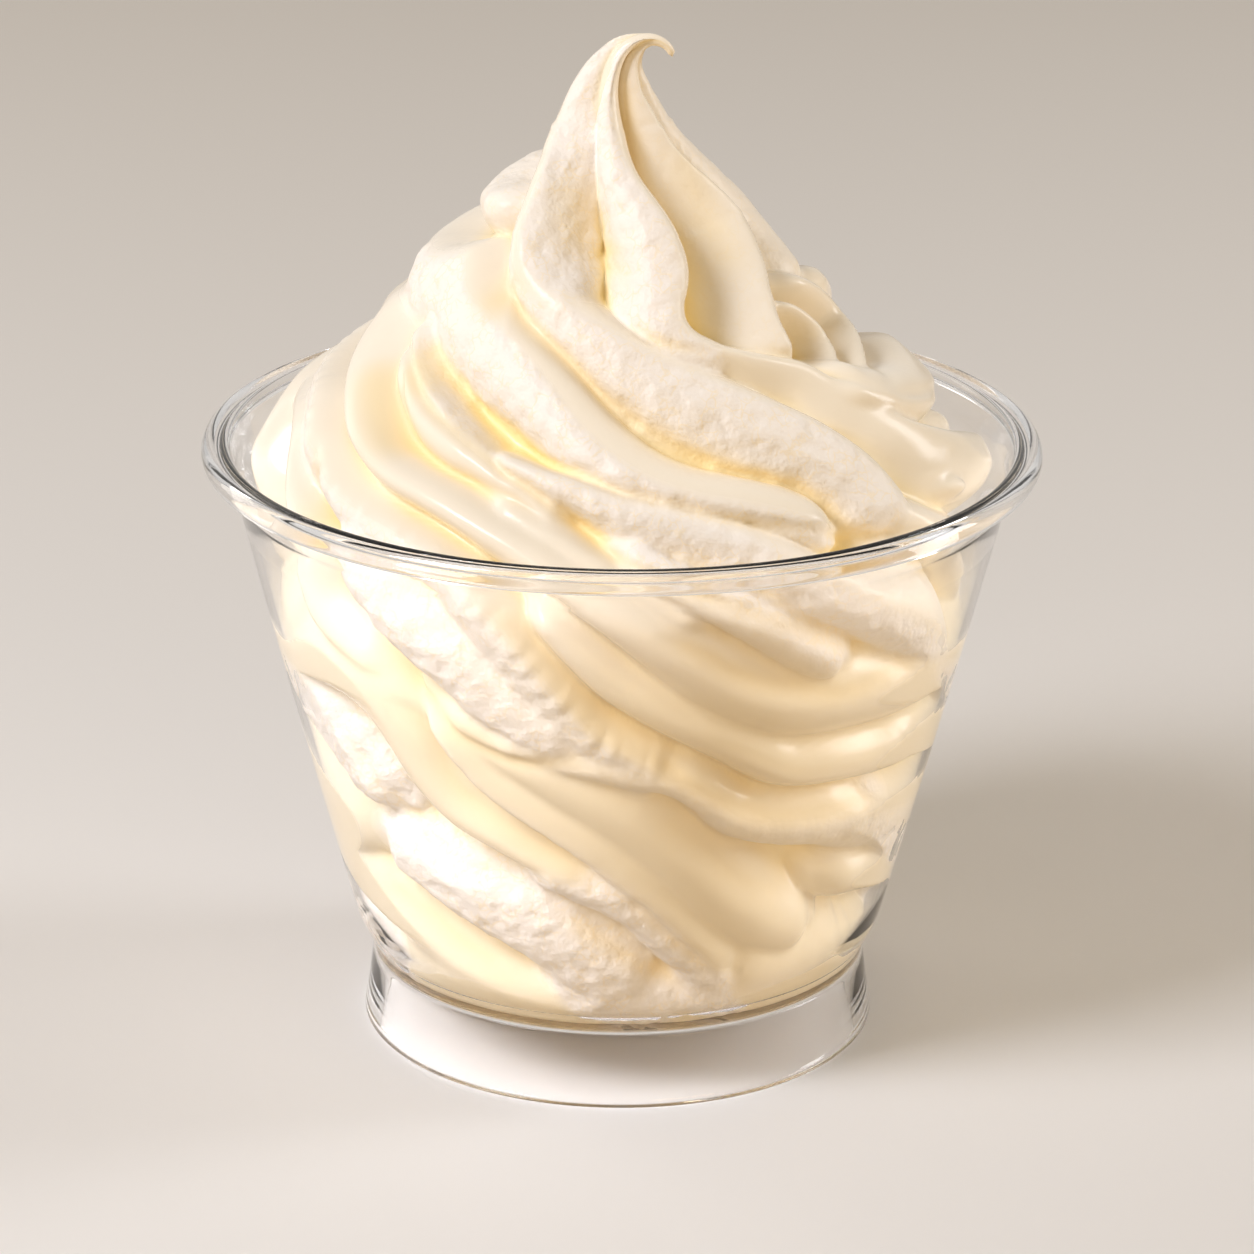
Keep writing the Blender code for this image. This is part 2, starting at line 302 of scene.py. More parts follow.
def cup_outline():
    """Inside, rim, outside, foot and recess, from axis to axis."""
    low = np.linspace(WALL_FOOT_HEIGHT, LEDGE_HEIGHT, 14)
    points = [(0.0, FLOOR_TOP), (15.0, FLOOR_TOP), (24.0, FLOOR_TOP)]
    points += arc((NECK_RADIUS - 2.6, FLOOR_TOP + 2.4), (2.4, 2.4), -90, -20, 6)
    points += [(float(wall_inner(z)), z) for z in low]
    points += [(float(wall_inner(LEDGE_HEIGHT + 0.3)) + LEDGE_STEP, LEDGE_HEIGHT + 0.3)]
    points += [(float(wall_inner(z)) + LEDGE_STEP, z) for z in (68.5, 70.0, 71.2)]
    points += arc((46.35, RIM_TOP - 0.75), (0.55, 0.55), 170, 20, 8)
    points += arc((RIM_RADIUS - 1.0, RIM_TOP - 1.35), (1.0, 1.35), 140, -150, 16)
    points += arc((46.9, RIM_TOP - 2.0), (0.5, 0.5), 60, 180, 5)
    points += [(float(wall_outer(z)) + LEDGE_STEP, z) for z in (70.0, 68.5)]
    points += [(float(wall_outer(LEDGE_HEIGHT)) + LEDGE_STEP, LEDGE_HEIGHT)]
    points += [(float(wall_outer(z)), z) for z in low[::-1] - 0.3]
    points += NECK_CURVE
    points += arc((FOOT_RADIUS - 0.6, 0.6), (0.6, 0.6), 0, -90, 5)
    points += arc((FOOT_RADIUS - FOOT_WALL - 0.1, 0.5), (0.5, 0.5), -90, -180, 4)
    points += RECESS_CURVE
    points += arc((27.1, FLOOR_UNDER - 1.0), (1.0, 1.0), 0, 90, 4)
    points += [(15.0, FLOOR_UNDER), (0.0, FLOOR_UNDER)]
    return points


# %% Turn the outline into the cup
CUP_SEGMENTS = 192


def turned(name, outline, segments):
    """A closed solid turned about Z from an outline that starts and ends on the axis."""
    shape = bmesh.new()
    line = [shape.verts.new((x * MM, 0.0, z * MM)) for x, z in outline]
    edges = [shape.edges.new(pair) for pair in zip(line, line[1:])]
    bmesh.ops.spin(
        shape,
        geom=line + edges,
        cent=(0, 0, 0),
        axis=(0, 0, 1),
        angle=math.tau,
        steps=segments,
        use_merge=True,
    )
    bmesh.ops.remove_doubles(shape, verts=shape.verts, dist=1e-6)
    bmesh.ops.recalc_face_normals(shape, faces=shape.faces)
    mesh = bpy.data.meshes.new(name)
    shape.to_mesh(mesh)
    shape.free()
    mesh.shade_smooth()
    return placed(name, mesh)


cup = turned("clear_cup", cup_outline(), CUP_SEGMENTS)
print("cup faces:", len(cup.data.polygons))

# %% [markdown]
# ## Clear plastic
# The cup is moulded from clear plastic, a little less dense to light than glass, so its rim and foot bend
# what is behind them while the thin wall hardly shows. A transmissive Principled shader does that. Its
# shadow would be black, because a lamp isn't seen through a bent path, so rays that look for a lamp meet a
# plain transparent shader instead.

# %% Clear plastic
CLEAR = {"Base Color": (0.97, 0.96, 0.95, 1.0), "Roughness": 0.02, "IOR": 1.43, "Transmission Weight": 1.0}
SHADOW_TINT = (0.95, 0.94, 0.93, 1.0)


def clear_plastic():
    """Clear moulded plastic: it bends light, mirrors its surroundings and lets lamps shine through."""
    material, tree, shader = new_material("clear_plastic")
    for name, value in CLEAR.items():
        tree.put(shader.inputs[name], value)
    solid = Value(tree, shader.outputs[0])
    through = tree.add("ShaderNodeBsdfTransparent", None, {"Color": SHADOW_TINT})
    shadow = tree.add("ShaderNodeLightPath", out="Is Shadow Ray")
    mixed = tree.add("ShaderNodeMixShader", None, {0: shadow, 1: solid, 2: through})
    tree.put(tree.nodes["Material Output"].inputs["Surface"], mixed)
    return material


cup.data.materials.append(clear_plastic())
print("cup's material:", cup.data.materials[0].name)

# %% [markdown]
# ## The swirl
# Soft serve leaves a star-shaped nozzle as a rope of ribs. Wound into a cup, the ribs run down to the
# right in long slanting folds that lap over each other. It could be sculpted, or swept as tubes, but tubes
# leave gaps and overlaps inside. So it is one surface round the cup's axis, whose radius follows an outline
# and is then raised and lowered by the ribs. That keeps it one closed skin that fits the cup exactly.

# %% Outline of the swirl
CREST_HEIGHTS = (10.6, 12, 14, 20, 30, 40, 50, 60, 64, 68, 73, 78, 83, 88, 92, 96, 100, 104, 108, 110)
CREST_RADII = (28, 29.5, 30.6, 32.3, 34.9, 37.5, 40.1, 42.6, 43.2, 42.6, 39.4, 35.9, 30.8, 25.4, 22.1,
               18.9, 15.9, 11.8, 7.9, 6.55)
BASE = 10.2
CURL_START = 110.0
CURL_LENGTH = 15.3
CURL_TURN = math.radians(172.0)
CURL_POWER = 2.5
CURL_RADII = ((0.0, 6.55), (4.4, 4.35), (7.5, 3.2), (9.6, 2.4), (11.5, 1.85), (13.3, 1.35), (14.9, 1.0),
              (15.3, 0.0))
LEAN = -1.6
LEAN_BAND = (66.0, 86.0)

PROFILE_HEIGHTS = np.linspace(BASE - 4, CURL_START + CURL_LENGTH + 4, 1400)
SOFTENING = np.exp(-0.5 * np.linspace(-2.5, 2.5, 61) ** 2)
PROFILE_RADII = np.convolve(
    np.pad(np.interp(PROFILE_HEIGHTS, CREST_HEIGHTS, CREST_RADII), 30, "edge"),
    SOFTENING / SOFTENING.sum(),
    "valid",
)


def crest_radius(height):
    """Radius of the crests at a height: straight runs between the radii above, with softened corners."""
    return np.interp(height, PROFILE_HEIGHTS, PROFILE_RADII)


def smooth_step(value, start, end):
    """0 before the start, 1 past the end and smooth between them. The start may be the higher one."""
    share = np.clip((value - start) / (end - start), 0, 1)
    return share**2 * (3 - 2 * share)


def running(steps):
    """The sum of the steps so far, from 0."""
    return np.concatenate([[0.0], np.cumsum(steps)])


TABLE_HEIGHTS = np.linspace(BASE, CURL_START + CURL_LENGTH, 1200)
TABLE_LENGTHS = running(np.hypot(np.diff(TABLE_HEIGHTS), np.diff(crest_radius(TABLE_HEIGHTS))))


def surface_length(height):
    """Length along the swirl's outline, from the cup's floor up to each height."""
    return np.interp(height, TABLE_HEIGHTS, TABLE_LENGTHS)


print("outline's length, mm:", TABLE_LENGTHS[-1].round(1))

# %% [markdown]
# ## Ribs
# Each rib is a path of crest points, as azimuth in degrees (0 in front, 90 on the right) and height in mm,
# with a reach to its upper right (above) and its lower left (below). A low `curve` falls from the crest
# like a roof and a high one like a table with a steep edge. `lift` raises or sinks the crest along its way,
# `rough` says how torn each side is, and `bead` puts small drops along the crest. Where two ribs meet the
# higher one wins, which leaves a sharp valley between them, as between two ropes pressed together. The
# ribs in front are placed one by one, because each one's course is what makes this swirl itself. The back,
# which is more even, comes from a few paths turned about the axis.

# %% How a rib is described
RIB_DEPTH = 3.0
DEPTH_SCALE = 1.6
END_DROP = 2.5
END_LENGTH = 4.0
BEAD_LENGTH = 2.0
BEAD_REACH = 1.2


def rib(name, path, above, below, depth=RIB_DEPTH, curve=(2.0, 2.0), lift=0.0, rough=(0.0, 0.0), bead=0.0):
    """One rib: its crest's path, its reach to each side, and how it falls there."""
    above, below, lift = np.atleast_1d(above), np.atleast_1d(below), np.atleast_1d(lift)
    return {"name": name, "path": path, "above": above, "below": below, "depth": depth, "curve": curve,
            "lift": lift, "rough": rough, "bead": bead}


def turned_path(path, turn):
    """The same path, further round the swirl."""
    return [(azimuth + turn, height) for azimuth, height in path]


# %% Ribs of the peak
ELBOW = [(-43.5, 104), (-39, 101), (-34, 98.2), (-27, 96.2), (-17, 94.7), (-7, 93.2)]
PEAK_RIBS = [
    rib("left_lobe", [(-95, 117.5), (-80, 113), (-62, 109), (-50, 107)] + ELBOW,
        (1.5, 2.5, 3.5, 6, 7, 6.5, 4), (4, 5, 4.5, 4, 5), depth=3.6, curve=(1.2, 2.4),
        lift=(0, 0.2, 0.6, 0.6, 0), rough=(1, 0)),
    rib("apron", ELBOW + [(5, 91), (20, 88), (30, 86), (40, 83.4), (47, 81), (52, 77.5), (54.5, 74),
        (55, 70)], (3, 2.5, 2.5, 3, 3), (5, 6, 8, 9, 10, 10), rough=(0, 1), curve=(2, 2.6)),
    rib("middle_lobe", [(-20, 121), (-8, 118.5), (-2, 116), (2, 112), (8, 109), (15, 106), (22, 103.5),
        (26, 101), (27, 98), (25, 96), (22, 94.5), (21, 92.5), (24, 90.8), (30, 89.7), (37, 89)],
        (1, 1.5, 2, 2.4, 2.8, 2.6, 2), (1, 2, 3.5, 5.5, 7.4, 7, 3.5), depth=3.2, rough=(0, 1),
        curve=(2, 2.6), lift=(0, 0, 0.4, 0.8, 0.6, 0)),
    rib("right_lobe", [(35, 120), (45, 117), (52, 114), (58, 112), (61, 110), (65, 108), (70, 106),
        (75, 104.5), (78, 102.5), (78, 100), (74, 98), (68, 95.5), (62, 93.5), (58, 91.5), (56, 89.5),
        (55.5, 86)], (1.5, 2.5, 2.5, 2), (2.5, 4.5, 8, 7), depth=3, curve=(2, 1.1), rough=(0, 0.35)),
    rib("far_right_lobe", [(82, 119), (90, 116), (97, 112), (102, 108.5), (107, 105), (110, 101.5),
        (109, 98), (104, 95), (98, 92.5), (93, 90.5)],
        (2, 3.5, 4), (2, 4, 6.5, 6), depth=2.6, lift=0.5, rough=(0, 0.5)),
]
PEAK_BACK = [(101, 120), (111, 116), (118, 112), (124, 109), (131, 106.5), (136, 104), (139, 101),
             (139, 98), (136, 95), (133, 92), (136, 88)]
for turn in (27, 74):
    path = turned_path(PEAK_BACK, turn)
    PEAK_RIBS.append(rib(f"back_lobe_{turn}", path, (2, 3, 4), (3, 7, 9), depth=2.6, curve=(2, 1.7)))
print("ribs of the peak:", [one["name"] for one in PEAK_RIBS])

# %% Ribs of the coil above the rim
COIL_RIBS = [
    rib("left_shoulder", [(-150, 104.5), (-120, 103.5), (-98, 102), (-82, 101.8), (-70, 102.3),
        (-58, 103.3)], (4, 5, 5), (4.5, 5.5, 5, 4), lift=0.2, rough=(0.6, 0.6)),
    rib("broad_fold", [(-170, 98), (-145, 97), (-125, 95.5), (-105, 94.2), (-85, 94.4), (-72, 95.6),
        (-62, 96.5), (-57, 94.8), (-50, 93.2), (-40, 92.3), (-28, 90.4), (-20, 88.5), (-12, 86), (-5, 83),
        (5, 79.3), (15, 77), (25, 75.5), (33, 73.7), (39, 71.5)],
        (3.5, 3.5, 4, 4, 5, 5, 4.5), (6, 8, 9, 9.5, 8, 4.5, 3.5), rough=(0, 1), curve=(2, 2.8),
        lift=(0.5, 1, 1, 0, 0, 0, 0)),
    rib("thin_fold", [(-68, 91), (-65, 88.8), (-61, 87.1), (-52, 85.4), (-45, 84.2), (-40, 83.1),
        (-35, 82.1), (-30, 81.1), (-26, 80.3), (-23, 79.4), (-20, 78.5), (-16, 77.6), (-12, 76.3),
        (-7, 74.5)],
        1.8, (3, 5, 6, 5, 4, 3.5), depth=2.6, curve=(2, 2.6), rough=(0.6, 0.1), bead=0.12,
        lift=(-1.2, -0.4, -0.3, -0.4, -1.1, -2.2)),
    rib("long_fold", [(-150, 91), (-130, 89.5), (-110, 87.6), (-92, 87.5), (-86, 86), (-80, 84.4),
        (-74, 82.9), (-66, 81), (-58, 79), (-51, 77.6), (-44, 76.3), (-36, 75.5), (-28, 74.3), (-20, 72.6),
        (-14, 71), (-8, 68.5), (-3, 65.8), (3, 62.6), (8, 59.9), (15, 56), (25, 52.5), (35, 51.3),
        (50, 50.9), (60, 51.7), (68, 52.5), (90, 50), (110, 46)],
        (3, 5, 8, 4, 3.5, 5, 4, 3, 3), (3, 3, 3, 3, 4, 7, 8, 7), lift=(0.3, 0.3, 0.1, 0, 0, 0, 0)),
    rib("under_fold", [(-140, 84.5), (-115, 81), (-98, 79.6), (-84, 79), (-78, 78), (-74, 76.6), (-68, 75),
        (-60, 73.5), (-52, 72.3), (-44, 71.5), (-37, 70.8), (-31, 69.8), (-26, 68.3), (-22, 65.6),
        (-18, 63), (-15, 59.9), (-11.5, 56.7), (-8, 53.4), (-4, 49.9), (1, 47.5), (6, 45.5), (10, 44.2)],
        (3, 3.5, 4, 3.5, 2.5, 2), (3, 4, 4, 7, 7), depth=2.8, rough=(0, 0.8), bead=0.45),
    rib("side_fold", [(-185, 92), (-165, 87.5), (-145, 83), (-125, 78.8), (-110, 76.4), (-95, 76),
        (-85, 76), (-79, 75), (-75, 73.4), (-71, 71.4), (-68, 70), (-64, 68), (-61, 65.6), (-60, 63),
        (-58, 60.6), (-56, 58.5), (-53, 56.8), (-47, 54.6), (-41, 52.4)],
        (3.5, 3.5, 3.5, 3, 2.4), (4, 4, 4, 3, 2.4), lift=(0, 0, 0.4, 0.2, -0.3, -0.8)),
    rib("outer_side", [(-140, 80), (-120, 77), (-106, 74.8), (-98, 72), (-94, 67), (-91, 62), (-88, 57)],
        4, 5, depth=2.8, lift=(0, 1, 2, 2, 1)),
    rib("torn_fold", [(-52, 70.8), (-47, 68.6), (-44, 66.4), (-40, 64.2), (-37, 62), (-33, 59.9),
        (-29, 57.7), (-25, 55.5), (-22, 53.4), (-18, 51.3), (-14, 49.3), (-10, 48), (-6, 46.8)],
        5, (4, 6, 6, 5, 3), depth=2.8, curve=(2.4, 3), rough=(0.9, 1), lift=-0.2),
    rib("front_fold", [(-26, 80.7), (-20, 80), (-12, 78.9), (-6, 78.2), (2, 76.7), (11, 75.5), (18, 74.2),
        (24, 72), (30, 69.5), (36, 66.2), (40, 64.5), (44, 62.6), (50, 60), (58, 56.7), (68, 53)],
        (1.6, 1.8, 2.2, 3, 5, 6), (2, 4.5, 6.5, 7, 6, 6), depth=2.8, rough=(0.3, 1),
        lift=(-0.5, -0.2, 0, 0), curve=(2.5, 2.6)),
    rib("custard_bank", [(-24, 77), (-14, 74), (-4, 70.6), (5, 66.5), (14, 62)],
        3, 5, depth=2.2, lift=-1.5),
    rib("shoulder_fold", [(24, 90.2), (30, 89.6), (40, 88.3), (50, 87.2), (57, 85.6), (62, 83), (66, 80.5),
        (70, 78), (76, 75.8), (85, 73), (97, 70), (112, 66), (130, 60)],
        (1.5, 2.2, 2.5), (2, 8, 9, 8), depth=2.6, curve=(2, 1.6),
        lift=(0, 0, 0, 0.2, 1.2, 2.2, 2, 1.2, 0.5)),
    rib("curled_step", [(98, 90.8), (107, 89.3), (118, 86.5), (130, 83.5), (145, 80), (160, 75.5),
        (172, 71)], 3.5, 4.5, depth=2.8, lift=(1.8, 1.8, 1.2, 0.5)),
    rib("inner_curl", [(60, 92.4), (68, 90.9), (73, 89.2), (75, 87.6), (73.5, 86.2), (70, 85.1),
        (66, 84.1)], 1.6, 1.8, depth=2.2, lift=-0.2),
    rib("outer_curl", [(76, 93.2), (84, 91.8), (92, 89.8), (97.5, 87.2), (94, 85.4), (86, 84.4), (78, 83.4),
        (72, 82.3)], (3, 2.4, 2), 2.2, depth=2.2, lift=(0.2, 0.7, 0.3, 0)),
    rib("drum_step", [(58, 84), (64, 82.3), (70, 80.8), (78, 79.3), (88, 78.3), (98, 78.2), (108, 77.8),
        (120, 75.5), (135, 72), (150, 68)],
        6, 3.5, depth=2.8, curve=(4, 2.2), lift=(1.2, 1.5, 2.2, 2.2, 1.4)),
    rib("lump_a", [(72, 75), (81, 73.8)], 2, 2, depth=2, lift=1.4),
    rib("lump_b", [(80, 72.3), (90, 71)], 1.8, 1.8, depth=2, lift=2.2),
    rib("lump_c", [(70, 71.2), (77, 70)], 1.8, 1.8, depth=2, lift=1.0),
    rib("lump_d", [(88, 69.6), (97, 68)], 1.8, 1.8, depth=2, lift=2.0),
]
COIL_BACK = [(95, 98), (115, 95.5), (135, 91.5), (155, 86), (175, 79.5), (190, 74), (200, 70)]
for turn in (0, 25, 50):
    COIL_RIBS.append(rib(f"back_fold_{turn}", turned_path(COIL_BACK, turn), 4, 5))
print("ribs of the coil:", [one["name"] for one in COIL_RIBS])

# %% Ribs inside the cup
CUP_RIBS = [
    rib("inner_front", [(0, 72), (8, 69.3), (16, 66), (23, 62.5), (29, 59.3), (34, 57), (39, 55.5)],
        3.2, 4, depth=2.8, rough=(1, 0.3), curve=(2.5, 2.5)),
    rib("second_long", [(-14, 66), (-8, 61), (-2, 56.5), (3, 54), (10, 51), (20, 47.3), (26, 44.8),
        (33, 42.8), (50, 41.5), (65, 42), (85, 39)], 3, 4, depth=2.6, lift=(-1, -0.5, 0, 0, 0)),
    rib("smooth_wave", [(-125, 57), (-105, 56.5), (-85, 55), (-70, 53.6), (-58, 53), (-50, 51.8),
        (-44, 49.2), (-40, 45.2), (-36, 40.8), (-30, 37), (-22, 34.5), (-13, 31.6), (-4, 29.5)],
        (3, 3.5, 4.5, 5.5, 6.5, 4, 2), (5, 6, 7, 6, 4, 3)),
    rib("torn_wave", [(-34, 50), (-30, 46.5), (-25, 42.5), (-20, 39.8), (-12, 36.5), (-6, 33.8), (-1, 31.2),
        (4, 28.4), (10, 24.8), (15, 21.3), (20, 18), (25, 15)],
        (5, 6, 6, 4.5, 5), (2, 2, 3, 3), depth=2.8, rough=(0, 0.5)),
    rib("upper_wave", [(-32, 50), (-20, 46.5), (-10, 42.4), (-3, 39.6), (5, 36), (13, 31.2), (20, 27),
        (27, 23.6), (33, 21.3), (39, 19.7), (46, 19)],
        (3, 4, 5, 5, 4), (5, 6, 7, 7, 5), depth=2.6, lift=-0.3),
    rib("right_wave", [(46, 24.4), (56, 24.6), (68, 24), (85, 22), (105, 19)], 3, 4, depth=2.4, lift=-0.6),
    rib("middle_wave", [(-24, 48), (-12, 46.6), (0, 45), (10, 43.5), (16, 41), (23, 37.5), (35, 35.7),
        (45, 35), (55, 33.9), (65, 33.4), (85, 31), (105, 27)],
        (2, 2.5, 3, 3), (3, 4, 8, 8), curve=(2, 2.6), rough=(0, 0.5)),
    rib("low_front", [(24, 16.4), (34, 14.8), (46, 13.8), (60, 12.8)], 5, 4, depth=2.4, lift=-0.3),
    rib("low_torn", [(-18, 31.5), (-8, 29.3), (0, 27), (7, 24), (12, 21), (20, 16.5), (26, 13.5)],
        3, 4, depth=2.4, rough=(1, 1)),
    rib("low_left_torn", [(-52, 29.8), (-45, 28.6), (-36, 26.5), (-26, 24.3), (-15, 21.5), (-5, 17.5),
        (5, 13.5)], (4, 5, 5.5, 5), (4, 5.5, 6, 5), depth=2.6, curve=(3, 3), rough=(1, 1)),
    rib("left_torn", [(-75, 47), (-64, 44.5), (-57, 41), (-52, 37.5), (-47, 34.5)],
        4.5, 4, depth=2.6, rough=(1, 1)),
    rib("low_left", [(-90, 28), (-75, 26.5), (-60, 23.3), (-50, 20), (-40, 16.5), (-30, 14), (-20, 11.5)],
        3.5, 6, depth=2.6),
    rib("foot_left", [(-48, 13.5), (-30, 13.2), (-15, 12.3)], 2, 2.5, depth=2.2),
]
chance = random.Random(4)
LOW_BACK = (
    ([(54, 72), (62, 69), (74, 63), (90, 56), (107, 51), (124, 48)], 7, 27),
    ([(61, 53), (75, 49), (87, 43), (103, 37), (123, 32), (141, 29)], 6, 32),
    ([(48, 35), (60, 31), (72, 26), (88, 20), (108, 15), (126, 11)], 6, 33),
)
for path, count, turn in LOW_BACK:
    for k in range(count):
        skewed = turned_path(path, k * turn + chance.uniform(-4, 4))
        torn = (float(chance.random() > 0.5),) * 2
        name = f"back_wave_{len(CUP_RIBS)}"
        CUP_RIBS.append(rib(name, skewed, (4, 5, 6), (4, 5, 6), depth=2.8, rough=torn))
print("ribs inside the cup:", [one["name"] for one in CUP_RIBS])

# %% [markdown]
# ## Creases
# Where a fold tucks under the next, the ice cream is pinched to a thin dark line, sharper than the valley
# between two ribs. Each such line is cut in along its own path. Light that gets into it comes out golden,
# so a crease also carries a painted golden glow in the colour. A crease of depth 0 is only that: a painted
# warm glow in a hollow, with no cut.

# %% How a crease is described


def crease(name, path, depth=1.0, width=0.75, painted_glow=1.0):
    """A line where one fold tucks under the next: how deep it cuts, its half width and how strong its painted
    golden glow is.
    """
    return {"name": name, "path": np.array(path, float), "depth": depth, "width": width, "painted_glow": painted_glow}


CREASES = [
    crease("lobe_groove", [(-21, 106.6), (-15, 104.5), (-7, 102.7), (0, 100.1), (5, 97.3), (6, 94.9),
        (7, 93)], 0.3, 1.6, 0.6),
    crease("apron_top", [(4, 93.6), (10, 91.9), (15, 90.7), (22, 89.8), (30, 88.9)], 0.6, 0.6),
    crease("middle_groove", [(20, 118.1), (28, 115.5), (30, 113), (31, 110.6), (35, 108.4), (38, 106.3),
        (43, 104.3), (46, 102.3), (47, 100.2), (45, 98.1), (43, 96.3), (39, 94.5)], 0.7, 0.9),
    crease("lobe_left", [(-56, 103.8), (-53, 102), (-51, 100.3), (-49, 98.6), (-45, 97), (-40, 95.9),
        (-35, 95)], 0.8, 0.8, 0.5),
    crease("shoulder_low", [(-70, 98.5), (-65, 99), (-60, 100.9), (-55, 102.3), (-53, 104)], 0.5, 0.7, 0.2),
    crease("under_apron", [(-42, 96.6), (-36, 94.6), (-28, 92.4), (-18, 90.5), (-10, 88.8), (-3, 87),
        (4, 85.3), (12, 83.3), (20, 81.2), (30, 78.6), (38, 76.2), (42, 73.7), (44, 71.2), (48, 70),
        (55, 69.5)], 1.1, 0.75, 1.0),
    crease("apron_crest", [(39, 85), (46, 82.9), (51, 80.9), (56, 79.3), (59, 77.6), (61.5, 75.5),
        (63, 73.5), (64, 71.3)], 0.5, 0.6, 0.3),
    crease("step_top", [(38, 88.9), (43, 88.8), (49, 87.9), (54, 87.3), (58, 86.2), (62, 84.2), (66, 81.8)],
        0.8, 0.6, 0.8),
    crease("curl_tail", [(66, 89.6), (66.5, 87.8), (64.5, 86.3), (61, 84.9)], 0.5, 0.8, 0.7),
    crease("curl_middle", [(80, 90.4), (84, 88), (80, 86.4), (75, 85), (69, 83.6), (65, 82.6)],
        0.5, 0.8, 0.6),
    crease("curl_outer", [(103, 86), (98, 84.5), (90, 83.8), (82, 83), (76, 81.9), (70, 81.2)],
        0.6, 0.8, 0.5),
    crease("drum_line", [(70, 80.6), (77, 79.6), (86, 78.3), (97, 77)], 0.7, 0.7, 0.2),
    crease("glow_pool", [(-72, 85.6), (-62, 83), (-53, 80.7), (-41, 78.1)], 0.0, 2.0, 1.2),
    crease("lobe_glow", [(-33, 108), (-28, 106), (-21, 103), (-15, 100), (-9, 97.7)], 0.0, 2.4, 0.8),
    crease("right_glow", [(60, 110), (66, 106), (64, 102), (58, 98), (47, 94.5)], 0.0, 2.2, 0.75),
    crease("elbow_hollow", [(-47, 96.4), (-42, 95), (-36, 93.4), (-30, 91.8)], 0.7, 2.4, 1.3),
    crease("fold_hollow", [(-62, 88.6), (-56, 86.4), (-50, 85), (-45, 83.9), (-41, 83.2)], 0.5, 1.6, 1.3),
    crease("broad_edge", [(-72, 88), (-63, 86.8), (-54, 85.4), (-45, 83.6), (-38, 82.6), (-32, 81.9),
        (-28, 81.5), (-21, 81.2), (-14, 80.4), (-6, 79.4), (0, 78), (5, 77.2), (11, 76.3), (18, 74.8),
        (26, 73.7), (31, 72.9), (37, 71.6), (44, 70.3), (50, 68.6)], 1.1, 0.75, 0.6),
    crease("thin_left", [(-66, 87), (-57, 84.7), (-53, 82.9), (-50, 81.9), (-47, 80.8), (-43, 79.7),
        (-39, 79), (-35, 78.3), (-30, 77.9), (-22, 77), (-16, 75.8), (-12, 74.2)], 0.7, 0.8, 0.6),
    crease("thin_right", [(-52, 85), (-44, 83.3), (-35, 81.9), (-31, 81.2), (-25, 80.1), (-21, 79),
        (-16, 77.8), (-12, 76.3), (-8, 75), (-5, 73.3), (-2, 72), (3, 70.3), (6, 69.5), (12, 67.6),
        (18, 65.8), (24, 63.4), (30, 61), (37, 58), (45, 54.5)], 1.0, 0.75, 0.9),
    crease("under_long", [(-46, 74.6), (-39, 73.4), (-32, 72.3), (-27, 71), (-22, 69)], 0.7, 0.8, 0.8),
    crease("side_hollow", [(-69, 76), (-64, 73.3), (-61, 70.5), (-60, 67), (-61, 63)], 1.4, 1.5, 1.0),
    crease("torn_low", [(-56, 64), (-52, 61.5), (-49, 58.8), (-46, 57), (-42, 55.5), (-39, 53.3),
        (-36, 51.6), (-33, 50.3), (-30, 49.2), (-27, 48), (-22, 46.6), (-17, 45.9), (-10, 46.1), (-4, 46)],
        1.0, 0.8, 0.9),
    crease("above_beads", [(-22, 67.4), (-19, 65.1), (-16, 63.1), (-13.5, 61), (-11, 58.6), (-8.5, 56.4),
        (-6, 54.1), (-3, 51.6), (1, 49.3), (5, 47.1), (9, 44.8), (12, 43.2)], 0.8, 1.2, 0.8),
    crease("wave_k", [(-60, 45.5), (-58, 44.2), (-55, 42.2), (-52, 40.3), (-49.5, 38.3), (-47, 35.5),
        (-45, 33.4), (-43, 32), (-40, 31), (-36, 30.2), (-30, 29.2), (-24, 28.4), (-19, 27.9)],
        0.9, 0.7, 0.6),
    crease("wave_right", [(-41, 50.6), (-38, 49.2), (-35.5, 47.5), (-33.8, 45.3), (-32.5, 43.2),
        (-31, 41.3), (-29, 39.5), (-26, 38.1), (-23, 36.9), (-19, 35.4), (-16, 34.2), (-12, 32.9),
        (-9, 31.7), (-5, 30), (-1, 28.6)], 1.0, 0.8, 0.7),
    crease("bottom_left", [(-57, 27), (-55.5, 25), (-53, 23), (-50, 22), (-47, 21), (-43, 20), (-39, 18.5),
        (-36, 17.6), (-32, 16.6), (-28, 15.6), (-24, 14.6), (-20, 13.7)], 0.9, 0.8, 0.8),
    crease("bottom_pair", [(-14, 25.5), (-9, 23.5), (-4, 21.5), (2, 19), (7, 16.5), (13, 14.6), (19, 13.6)],
        0.9, 0.8, 0.9),
    crease("wave_end", [(-1, 28.9), (2, 27.5), (5, 25.8), (8, 23.9), (13, 21), (18, 18.1), (22, 15.4)],
        0.9, 0.8, 0.6),
    crease("long_above", [(5, 63.2), (13, 59.7), (17, 57.6), (21, 56), (25, 54.8), (28, 54.1), (33, 53.1),
        (38, 52.3), (44, 52.2), (49, 52.6), (53, 52.7), (59, 52.8)], 0.9, 0.8, 0.9),
    crease("long_below", [(13, 50.1), (22, 46.7), (27, 44.7), (32, 43.2), (38, 42.3), (44, 41.8),
        (52, 41.8), (59, 41.5)], 0.5, 0.8, 0.4),
    crease("middle_above", [(1, 49.2), (5, 47), (9, 44.8), (12, 43.2), (16, 41.4), (20, 39.7), (24, 38.3),
        (28, 37.3), (32, 36.8), (37, 36.3), (42, 35.9), (48, 35.7), (53, 35.3), (58, 34.9)], 1.0, 0.8, 0.9),
    crease("middle_below", [(4, 39.5), (10, 36.5), (16, 33.4), (21, 30), (26, 27.4), (34, 25), (43, 23)],
        0.8, 1.6, 0.6),
]
